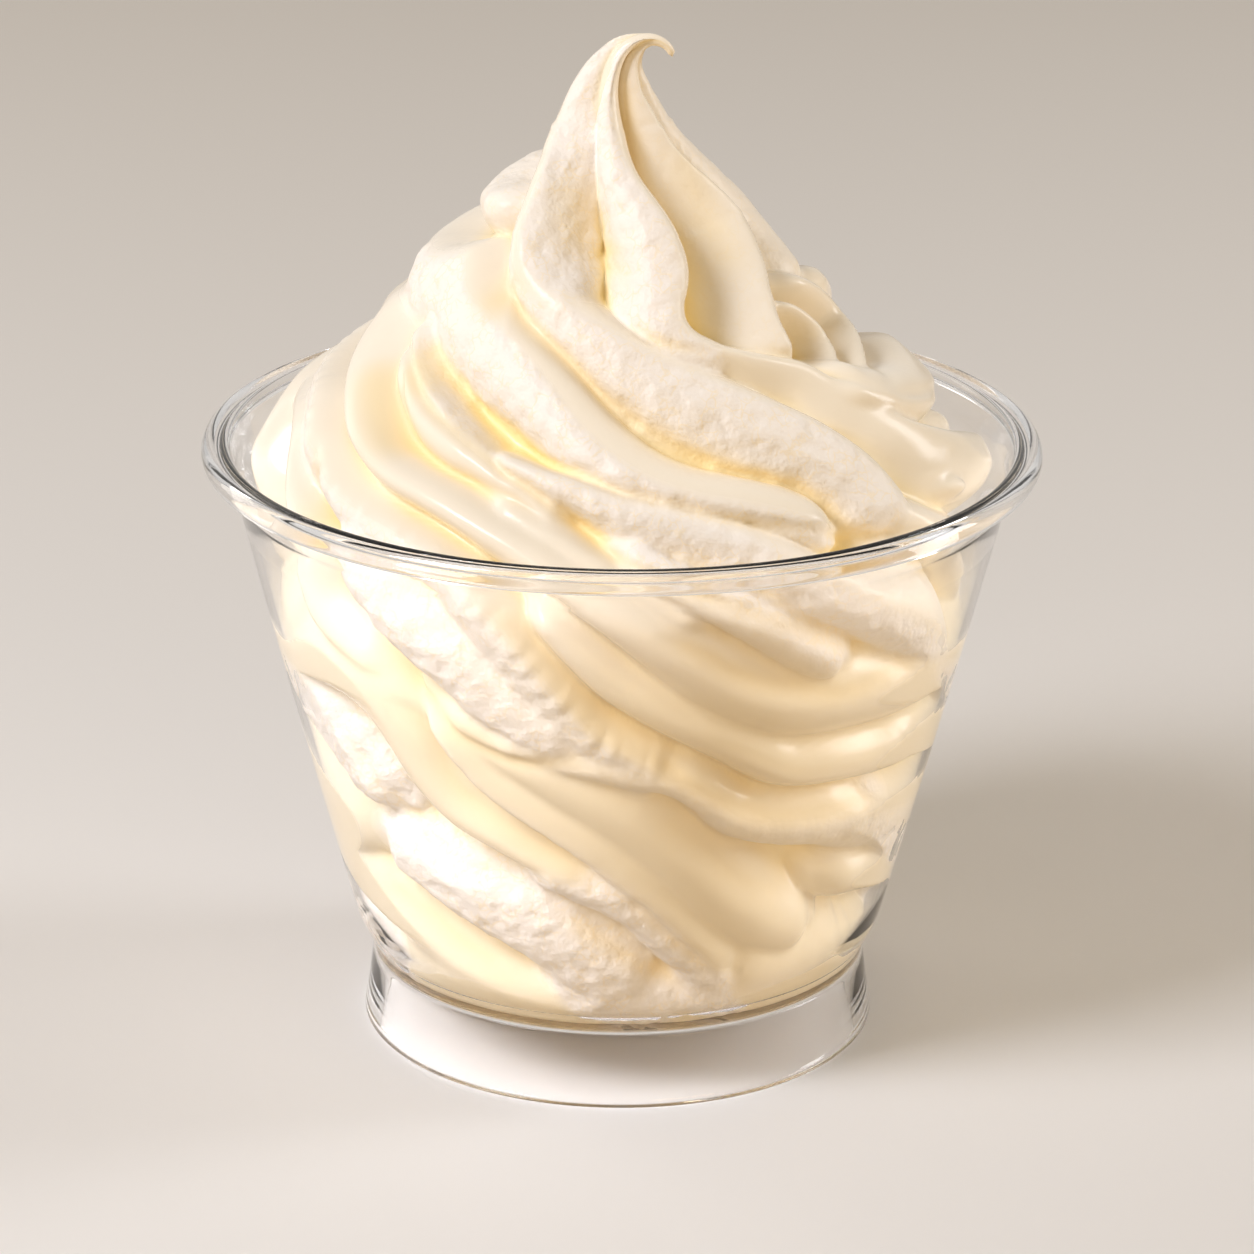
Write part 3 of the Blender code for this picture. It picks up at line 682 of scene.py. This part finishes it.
print("creases:", [one["name"] for one in CREASES])

# %% [markdown]
# ## From paths to a surface
# For each point of the surface the nearest place on each path is found, as if the outline were unrolled.
# Its distance there, and the side that it is on, say how far the rib has fallen. A soft maximum over all
# the ribs (the logarithm of a sum of exponentials) then keeps the highest and rounds each valley a little.

# %% The height of one rib
PATH_SAMPLES = 48
CREASE_END = 5.0
OUT_OF_REACH = -99.0
AZIMUTH_WEIGHT = 0.6
SIDE_BLEND = 0.3


def smooth_path(points):
    """A Catmull-Rom curve through the points, sampled evenly."""
    knots = np.array(points, float)
    ends = np.vstack([2 * knots[0] - knots[1], knots, 2 * knots[-1] - knots[-2]])
    lengths = np.hypot(np.diff(knots[:, 0]) * AZIMUTH_WEIGHT, np.diff(knots[:, 1]))
    travelled = running(lengths)
    position = np.linspace(0, travelled[-1], PATH_SAMPLES)
    k = np.clip(np.searchsorted(travelled, position, side="right") - 1, 0, len(knots) - 2)
    t = ((position - travelled[k]) / lengths[k])[:, None]
    a, b, c, d = ends[k], ends[k + 1], ends[k + 2], ends[k + 3]
    return 0.5 * (2 * b + (c - a) * t + (2 * a - 5 * b + 4 * c - d) * t**2 + (3 * b - a - 3 * c + d) * t**3)


def along_rib(values, share):
    """A width or a lift at a share of the way along the rib, from values spread evenly over it."""
    return np.interp(share, np.linspace(0, 1, len(values)), values)


def nearest_on(path, azimuth, height, reach):
    """For points within reach of a path: distance (mm), 1 above it and 0 below, share of the way along it,
    mm from its start, and its whole length."""
    line = smooth_path(path)
    line_up = surface_length(line[:, 1])
    point_up = surface_length(height)
    middle = (line[:, 0].min() + line[:, 0].max()) / 2
    turned_azimuth = (azimuth - middle + 180) % 360 - 180 + middle
    spread = np.degrees(reach / np.maximum(crest_radius(height), 1.0))
    near = (point_up > line_up.min() - reach) & (point_up < line_up.max() + reach)
    near &= (turned_azimuth > line[:, 0].min() - spread) & (turned_azimuth < line[:, 0].max() + spread)
    scale = np.radians(crest_radius(height[near]))[:, None]
    across = (turned_azimuth[near][:, None] - line[None, :-1, 0]) * scale
    up = point_up[near][:, None] - line_up[None, :-1]
    step_across = np.diff(line[:, 0])[None] * scale
    step_up = np.diff(line_up)[None] + 0 * step_across
    share = np.clip((across * step_across + up * step_up) / (step_across**2 + step_up**2), 0, 1)
    distance = np.hypot(across - share * step_across, up - share * step_up)
    nearest = distance.argmin(1)
    pick = (np.arange(len(nearest)), nearest)
    step = np.hypot(step_across, step_up)[pick]
    cross = (step_across * up - step_up * across)[pick] / (SIDE_BLEND * step)
    upper = (np.clip(cross, -1, 1) + 1) / 2
    place = (nearest + share[pick]) / (len(line) - 1)
    line_steps = np.hypot(np.diff(line[:, 0]) * np.radians(crest_radius(line[:-1, 1])), np.diff(line_up))
    line_length = running(line_steps)
    at = np.interp(nearest + share[pick], np.arange(len(line)), line_length)
    return near, distance[pick], upper, place, at, line_length[-1]


def rib_height(one, azimuth, height):
    """How high a rib stands at each point (0 on its crest) and which side of it the point is on."""
    rise = np.full(azimuth.shape, OUT_OF_REACH)
    side = np.zeros(azimuth.shape)
    reach = 1.6 * max(one["above"].max(), one["below"].max()) + 2
    near, distance, upper, place, at, length = nearest_on(one["path"], azimuth, height, reach)
    width = along_rib(one["below"], place) * (1 - upper) + along_rib(one["above"], place) * upper
    power = one["curve"][1] * (1 - upper) + one["curve"][0] * upper
    fade = np.clip(1 - np.minimum(at, length - at) / END_LENGTH, 0, 1) ** 2
    fall = DEPTH_SCALE * one["depth"] * (distance / width) ** power
    rise[near] = along_rib(one["lift"], place) - fall - END_DROP * fade
    if one["bead"] > 0:
        ripple = np.cos(math.tau * at / BEAD_LENGTH + 1.3 * np.sin(at * 0.9))
        rise[near] += one["bead"] * ripple * np.exp(-((distance / BEAD_REACH) ** 2))
    side[near] = upper
    return rise, side


def crease_cut(one, azimuth, height):
    """How deep a crease cuts at each point, and a wider soft painted golden glow round it for its colour."""
    cut = np.zeros(azimuth.shape)
    mark = np.zeros(azimuth.shape)
    near, distance, _, _, at, length = nearest_on(one["path"], azimuth, height, 5 * one["width"])
    open_end = np.clip(np.minimum(at, length - at) / CREASE_END, 0, 1) ** 0.7
    cut[near] = one["depth"] * open_end * np.exp(-((distance / one["width"]) ** 1.4))
    mark[near] = one["painted_glow"] * open_end * np.exp(-((distance / (1.6 * one["width"])) ** 1.6))
    return cut, mark


# %% All the ribs together
DEEPEST_CREASE = 7.0
BLEND = 0.22
BASE_FILL = (12.0, 17.0)
SIDE_FILL = 2.6
SIDE_FACING = (0.75, 0.3)
SIDE_BAND = (62.0, 50.0)
MOST_PROUD = 1.6
FLATTER = 0.74
CUP_BAND = (68.0, 58.0)
TIP_BAND = (104.0, 116.0)


def relief(azimuth, height):
    """The ribs' soft maximum less the creases, how torn the surface is, and the creases' painted golden glow.
    """
    total = np.ones(azimuth.shape)
    torn = np.zeros(azimuth.shape)
    for one in PEAK_RIBS + COIL_RIBS + CUP_RIBS:
        rise, upper = rib_height(one, azimuth, height)
        weight = np.exp(np.clip((rise + DEEPEST_CREASE) / BLEND, -40, 40))
        total += weight
        torn += weight * (one["rough"][1] * (1 - upper) + one["rough"][0] * upper)
    cut = np.zeros(azimuth.shape)
    painted_glow = np.zeros(azimuth.shape)
    for one in CREASES:
        one_cut, one_mark = crease_cut(one, azimuth, height)
        cut = np.maximum(cut, one_cut)
        painted_glow = np.maximum(painted_glow, one_mark)
    swell = SIDE_FILL * smooth_step(np.cos(np.radians(azimuth)), *SIDE_FACING)
    swell = swell * smooth_step(height, *SIDE_BAND)
    rise = np.minimum(BLEND * np.log(total) - DEEPEST_CREASE - cut + swell, 0.5 * swell + MOST_PROUD)
    pressed_flat = 1 - (1 - FLATTER) * (smooth_step(height, *CUP_BAND) + smooth_step(height, *TIP_BAND))
    rise = np.where(rise < 0, rise * pressed_flat, rise)
    return rise, torn / total, painted_glow


# %% [markdown]
# ## Lean, curl and contact
# The peak stands a little to the left of the axis, and its tip was pulled off the nozzle in a thin hook
# that bends over to the right. In the cup the ice cream is pressed flat against the wall, and at the sides
# and back it draws away from the wall below the rim. It reaches just into the plastic where it touches, as
# a film of air between them would mirror like a second wall.

# %% Where the swirl leaves the wall, leans and curls
AIR_GAP = 2.6
GAP_START = (50.5, 54.0)
GAP_END = (62.0, 70.0)
GAP_SIDES = (55.0, 73.0)
CONTACT = 0.08
UNDERCUT = 0.3


def lean_at(height):
    """How far the swirl's centre line is off the axis."""
    return LEAN * smooth_step(height, *LEAN_BAND)


def air_gap(azimuth, height):
    """How far the swirl draws back from the wall at its sides and back, below the rim."""
    turned_azimuth = np.abs((azimuth + 180) % 360 - 180)
    rising = smooth_step(height, *GAP_START)
    fading = 1 - smooth_step(height, *GAP_END)
    return AIR_GAP * rising * fading * smooth_step(turned_azimuth, *GAP_SIDES)


def curl_at(length):
    """Centre, tilt and radius of the tip, which curls over to the right."""
    steps = np.linspace(0, CURL_LENGTH, 300)
    tilt = CURL_TURN * (steps / CURL_LENGTH) ** CURL_POWER
    sideways = running(np.sin(tilt[1:]) * np.diff(steps))
    up = running(np.cos(tilt[1:]) * np.diff(steps))
    radii = np.array(CURL_RADII)
    return (
        LEAN + np.interp(length, steps, sideways),
        CURL_START + np.interp(length, steps, up),
        np.interp(length, steps, tilt),
        np.interp(length, radii[:, 0], radii[:, 1]),
    )


print("tip, mm:", [round(float(value), 2) for value in curl_at(CURL_LENGTH)[:2]])

# %% [markdown]
# ## The grid
# The surface is a grid of points that winds down with the ribs, because a crease looks jagged where it
# cuts across faces at an angle. The front, with the sharpest folds, gets twice as many points as the back.

# %% The grid of points
COLUMNS = 372
ROWS = 256
FLOOR_ROWS = 8
FRONT_FINER = 0.42
WIND_TOP = 100.0


def winding(height):
    """How far the columns of points have turned, so that they run down with the ribs at 45 degrees."""
    steps = np.linspace(BASE, WIND_TOP, 400)
    turns = np.diff(surface_length(steps)) / crest_radius(steps[1:])
    return -np.degrees(np.interp(height, steps, running(turns)))


def grid_places():
    """Azimuth and height of every point, row by row from the base to the tip."""
    reach = TABLE_LENGTHS[-1]
    height = np.interp(np.linspace(0, reach, ROWS), TABLE_LENGTHS, TABLE_HEIGHTS)[:-1]
    column = np.arange(COLUMNS) * 360.0 / COLUMNS
    wound = column[None] + winding(height)[:, None]
    azimuth = wound - np.degrees(FRONT_FINER * np.sin(np.radians(wound)))
    return azimuth, np.repeat(height[:, None], COLUMNS, 1)


def smoothed(field, passes):
    """A soft blur over the grid, round the columns and along the rows."""
    for _ in range(passes):
        field = (np.roll(field, 1, 1) + 2 * field + np.roll(field, -1, 1)) / 4
        padded = np.vstack([field[:1], field, field[-1:]])
        field = (padded[:-2] + 2 * field + padded[2:]) / 4
    return field


azimuths, heights = grid_places()
rise, torn, painted_glow = relief(azimuths.ravel(), heights.ravel())
rise = smoothed(rise.reshape(azimuths.shape), 1) * smooth_step(heights, *BASE_FILL)
torn = smoothed(torn.reshape(azimuths.shape), 3)
painted_glow = smoothed(painted_glow.reshape(azimuths.shape), 2)
print("relief from", rise.min().round(2), "to", rise.max().round(2), "mm")

# %% Points of the swirl
TIP_BLEND = (CURL_START - 4, CURL_START + 2)
TIP_OUTWARD = 0.75
THINNEST_TIP = 0.4
PRESSED_BAND = (-0.5, 0.3)


def serve_points(azimuth, height, rise, pressed):
    """The points in mm. Fills `pressed` with how hard each one is pushed against the wall."""
    curl_x, curl_z, tilt, curl_radius = curl_at(np.maximum(height - CURL_START, 0))
    in_curl = height > CURL_START
    rise = rise * np.where(in_curl, curl_radius / CURL_RADII[0][1], 1.0)
    fall = crest_radius(height + 0.5) - crest_radius(height - 0.5)
    slope = fall / np.hypot(1.0, fall)
    level = np.sqrt(1 - slope**2)
    tip_share = smooth_step(height, *TIP_BLEND)
    outward = (level - UNDERCUT * slope) * (1 - tip_share) + TIP_OUTWARD * tip_share
    upward = (slope + UNDERCUT * level) * (1 - tip_share)
    body = crest_radius(height) - air_gap(azimuth, height) + rise * outward
    body_height = height - rise * upward
    pressed[:] = smooth_step(body - wall_inner(body_height), *PRESSED_BAND) * (body_height < RIM_TOP - 4)
    body = np.where(body_height < RIM_TOP - 2, np.minimum(body, wall_inner(body_height) + CONTACT), body)
    radius = np.where(in_curl, np.maximum(curl_radius + rise * outward, curl_radius * THINNEST_TIP), body)
    angle = np.radians(azimuth)
    out = radius * np.sin(angle)
    return np.stack(
        [
            np.where(in_curl, curl_x, lean_at(height)) + out * np.cos(tilt),
            -radius * np.cos(angle),
            np.maximum(np.where(in_curl, curl_z - rise * upward, body_height) - out * np.sin(tilt), BASE),
        ],
        axis=-1,
    )


pressed = np.zeros(azimuths.shape)
side_points = serve_points(azimuths, heights, rise, pressed)
base_ring = side_points[0]
floor_points = np.array([base_ring * [k / FLOOR_ROWS, k / FLOOR_ROWS, 1] for k in range(1, FLOOR_ROWS)])
rings = np.concatenate([floor_points, side_points])
base_centre = np.array([0.0, 0.0, BASE])
tip_x, tip_z, _, _ = curl_at(CURL_LENGTH)
tip = np.array([tip_x, 0.0, tip_z])
print("swirl from", rings.min((0, 1)).round(2), "to", rings.max((0, 1)).round(2), "mm")

# %% The swirl's mesh


def on_all_rings(field):
    """The field's values for every vertex: the base, the rings and the tip."""
    low = np.repeat(field[:1], FLOOR_ROWS - 1, 0)
    return np.concatenate([[field[0].mean()], np.concatenate([low, field]).ravel(), [field[-1].mean()]])


def swirl_mesh(name):
    """One closed skin: quads between the rings, and triangles at the base's centre and the tip."""
    count = rings.shape[0]
    points = np.vstack([base_centre, rings.reshape(-1, 3), tip])
    here = 1 + np.arange(count * COLUMNS).reshape(count, COLUMNS)
    beside = np.roll(here, -1, 1)
    quads = np.stack([here[:-1], beside[:-1], beside[1:], here[1:]], -1).reshape(-1, 4)
    faces = [tuple(face) for face in quads.tolist()]
    faces += [(0, int(b), int(a)) for a, b in zip(here[0], beside[0])]
    last = len(points) - 1
    faces += [(int(a), int(b), last) for a, b in zip(here[-1], beside[-1])]
    mesh = bpy.data.meshes.new(name)
    mesh.from_pydata((points * MM).tolist(), [], faces)
    mesh.update()
    mesh.shade_smooth()
    return mesh


def store(mesh, name, values):
    """Keeps a number for each vertex, which materials and Geometry Nodes can read by name."""
    mesh.attributes.new(name, "FLOAT", "POINT").data.foreach_set("value", values.astype(np.float32))


swirl_data = swirl_mesh("vanilla_swirl")
store(swirl_data, "torn", on_all_rings(np.clip(torn, 0, 1)))
store(swirl_data, "pressed", on_all_rings(pressed))
# The crease and hollow values only steer the painted golden glow in the ice cream's colour.
narrow, wide = smoothed(rise, 8), smoothed(rise, 90)
store(swirl_data, "crease", on_all_rings(np.clip(0.6 * (narrow - rise), 0, 1) + painted_glow))
store(swirl_data, "hollow", on_all_rings(np.clip((wide - rise) * 0.5 - rise * 0.1, 0, 3)))
swirl = placed("vanilla_swirl", swirl_data)
print("swirl triangles:", 2 * len(swirl_data.polygons))

# %% [markdown]
# ## Ice cream
# Soft serve is a white foam with a warm tint. Light goes in a little way and comes out again, so crests
# look white and hollows glow like custard. That glow is painted into the colour: the stored `hollow` and
# `crease` values say where, which holds from every side. Where the rope was pressed smooth it shines
# softly, and where it was torn it is whiter, partly its own dull finish and partly painted light, as the
# torn sides face the lamp. It is dull there and crossed by short fine cracks. Those are the edges of Voronoi
# cells, bent by a noise and kept in patches only, because an even net would look like scales. The cracks
# are colour alone, a painted golden shade, since a Bump node works out its height three times over and
# Voronoi cells are slow.

# %% Ice-cream material
# The smooth cream is more yellow and the torn cream whiter, partly as their own finish and partly as painted
# light and shade: the torn sides face the lamp, the smooth ones lie in its shade.
SMOOTH_SHADED_CREAM = (0.967, 0.89, 0.755, 1.0)
TORN_LIT_CREAM = (0.972, 0.925, 0.875, 1.0)
# Custard is the painted golden glow of hollows and also tints the smooth folds below the rim; honey is the
# painted golden glow of creases and the painted shade in the cracks.
CUSTARD = (0.985, 0.825, 0.43, 1.0)
HONEY = (0.98, 0.79, 0.42, 1.0)
FROST = (0.95, 0.89, 0.81, 1.0)
HOLLOW_RANGE = (0.4, 2.3)
CREASE_RANGE = (0.1, 1.3)
IN_CUP_RANGE = (66 * MM, 52 * MM)
CELLS_PER_M = 760.0
CRACK_WIDTH = 0.11
CRACK_WAVER = 1.6 * MM
PATCH_RANGE = (0.42, 0.6)
LUMP_HEIGHT = 0.3
GRAIN_HEIGHT = 0.08
SMOOTH_GRAIN_HEIGHT = 0.015


def attribute(tree, name):
    return tree.add("ShaderNodeAttribute", {"attribute_name": name}, out="Fac")


def ramp(tree, value, start, end):
    """0 below the start, 1 above the end, smooth between them."""
    return tree.add("ShaderNodeMapRange", {"interpolation_type": "SMOOTHSTEP"},
                    {"Value": value, "From Min": start, "From Max": end})


def noise(tree, place, scale, detail=2.0, out=0):
    """A noise with `scale` waves to the metre."""
    return tree.add("ShaderNodeTexNoise", None, {"Vector": place, "Scale": scale, "Detail": detail}, out)


def tears(tree, place):
    """Short curved cracks between cells a little over 1 mm across, 1 in a crack and 0 beside it."""
    waver = noise(tree, place, 600.0, out="Color")
    centred = tree.add("ShaderNodeVectorMath", {"operation": "SUBTRACT"}, {0: waver, 1: (0.5, 0.5, 0.5)})
    shift = tree.add("ShaderNodeVectorMath", {"operation": "SCALE"}, {0: centred, "Scale": CRACK_WAVER})
    moved = tree.add("ShaderNodeVectorMath", {"operation": "ADD"}, {0: place, 1: shift})
    edge = tree.add("ShaderNodeTexVoronoi", {"feature": "DISTANCE_TO_EDGE"},
                    {"Vector": moved, "Scale": CELLS_PER_M})
    patches = noise(tree, place, 420.0, 1.0)
    return (1 - ramp(tree, edge, 0.0, CRACK_WIDTH)) * ramp(tree, patches, *PATCH_RANGE)


def cream_colour(tree, place, torn_share, cracks):
    """Cream, whiter where it is torn (partly painted light) and golden on the smooth folds in the cup, with a
    painted golden glow in hollows and creases and painted golden shade in the cracks.
    """
    height = tree.add("ShaderNodeSeparateXYZ", None, {"Vector": place}, out="Z")
    in_cup = ramp(tree, height, *IN_CUP_RANGE) * (1 - torn_share)
    tint = colour_mix(tree, torn_share, SMOOTH_SHADED_CREAM, TORN_LIT_CREAM)
    # Painted golden glow: custard in the hollows and honey in the creases, for light that comes out golden.
    tint = colour_mix(tree, ramp(tree, attribute(tree, "hollow"), *HOLLOW_RANGE) * 0.95, tint, CUSTARD)
    tint = colour_mix(tree, in_cup * 0.3, tint, CUSTARD)
    tint = colour_mix(tree, ramp(tree, attribute(tree, "crease"), *CREASE_RANGE) * 0.6, tint, HONEY)
    tint = colour_mix(tree, attribute(tree, "pressed") * 0.25, tint, FROST)
    # Painted golden shade in the cracks.
    return colour_mix(tree, cracks * 0.3, tint, HONEY)


def ice_cream():
    """Vanilla soft serve: satin where it is smooth and dull, lumpy and cracked where it is torn."""
    material, tree, shader = new_material("ice_cream")
    place = tree.add("ShaderNodeTexCoord", out="Object")
    torn_share = attribute(tree, "torn")
    cracks = tears(tree, place) * torn_share
    tree.put(shader.inputs["Base Color"], cream_colour(tree, place, torn_share, cracks))
    tree.put(shader.inputs["Roughness"], torn_share * 0.3 + 0.22)
    grain, lumps = noise(tree, place, 1500.0), noise(tree, place, 600.0)
    bumps = (lumps * LUMP_HEIGHT + grain * GRAIN_HEIGHT) * torn_share + grain * SMOOTH_GRAIN_HEIGHT
    bump = tree.add("ShaderNodeBump", None, {"Height": bumps, "Strength": 1.0, "Distance": MM})
    tree.put(shader.inputs["Normal"], bump)
    tree.put(shader.inputs["IOR"], 1.38)
    return material


CREAM_MATERIAL = ice_cream()
print("ice cream's nodes:", len(CREAM_MATERIAL.node_tree.nodes))

# %% [markdown]
# ## Torn skin
# Where soft serve tears from itself the surface is crinkled: small pits and folds a millimetre or two
# across. They follow a rule, so Geometry Nodes add them to the swirl: each point moves along its normal by
# a noise, and the stored `torn` attribute says how much.

# %% Skin tree


def skin_tree():
    """Geometry Nodes that crinkle the torn parts of a mesh and give it the ice cream's material."""
    group = bpy.data.node_groups.new("torn_skin", "GeometryNodeTree")
    group.interface.new_socket("Geometry", in_out="INPUT", socket_type="NodeSocketGeometry")
    for name in ("Fold height", "Fold size", "Pit depth", "Pit size", "Seed"):
        group.interface.new_socket(name, in_out="INPUT", socket_type="NodeSocketFloat")
    group.interface.new_socket("Geometry", in_out="OUTPUT", socket_type="NodeSocketGeometry")
    tree = Tree(group)
    given = group.nodes.new("NodeGroupInput")
    inputs = {socket.name: Value(tree, socket) for socket in given.outputs if socket.name}
    torn_share = tree.add("GeometryNodeInputNamedAttribute", {"data_type": "FLOAT"}, {"Name": "torn"})
    place = tree.add("GeometryNodeInputPosition")
    normal = tree.add("GeometryNodeInputNormal")
    seed = inputs["Seed"]
    folds = tree.add("ShaderNodeTexNoise", {"noise_dimensions": "4D"},
                     {"Vector": place, "W": seed, "Scale": 1 / inputs["Fold size"], "Detail": 2.0})
    pits = tree.add("ShaderNodeTexVoronoi", {"feature": "SMOOTH_F1", "voronoi_dimensions": "4D"},
                    {"Vector": place, "W": seed, "Scale": 1 / inputs["Pit size"]})
    lift = (folds - 0.5) * 2 * inputs["Fold height"] - (0.6 - pits) * inputs["Pit depth"]
    move = tree.add("ShaderNodeVectorMath", {"operation": "SCALE"},
                    {0: normal, "Scale": lift * torn_share})
    moved = tree.add("GeometryNodeSetPosition", None, {"Geometry": inputs["Geometry"], "Offset": move})
    real = tree.add("GeometryNodeRealizeInstances", None, {"Geometry": moved})
    painted = tree.add("GeometryNodeSetMaterial", None, {"Geometry": real, "Material": CREAM_MATERIAL})
    result = group.nodes.new("NodeGroupOutput")
    tree.put(result.inputs["Geometry"], painted)
    return group


def grown(piece, group, settings):
    """Runs a tree on a piece and keeps the result as a plain mesh."""
    modifier = piece.modifiers.new(group.name, "NODES")
    modifier.node_group = group
    for socket in group.interface.items_tree:
        if socket.name in settings:
            modifier[socket.identifier] = settings[socket.name]
    bpy.context.view_layer.update()
    evaluated = piece.evaluated_get(bpy.context.evaluated_depsgraph_get())
    mesh = bpy.data.meshes.new_from_object(evaluated)
    piece.modifiers.clear()
    piece.data = mesh
    mesh.name = piece.name
    return piece


SKIN = {"Fold height": 0.3 * MM, "Fold size": 3.0 * MM, "Pit depth": 0.6 * MM, "Pit size": 1.8 * MM,
        "Seed": 3.0}
grown(swirl, skin_tree(), SKIN)
print("skin done, faces:", len(swirl.data.polygons), "materials:", len(swirl.data.materials))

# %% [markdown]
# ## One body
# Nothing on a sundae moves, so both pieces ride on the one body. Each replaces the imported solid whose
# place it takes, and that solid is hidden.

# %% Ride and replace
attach(cup, "root")
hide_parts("cup")
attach(swirl, "root")
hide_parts("soft_serve")
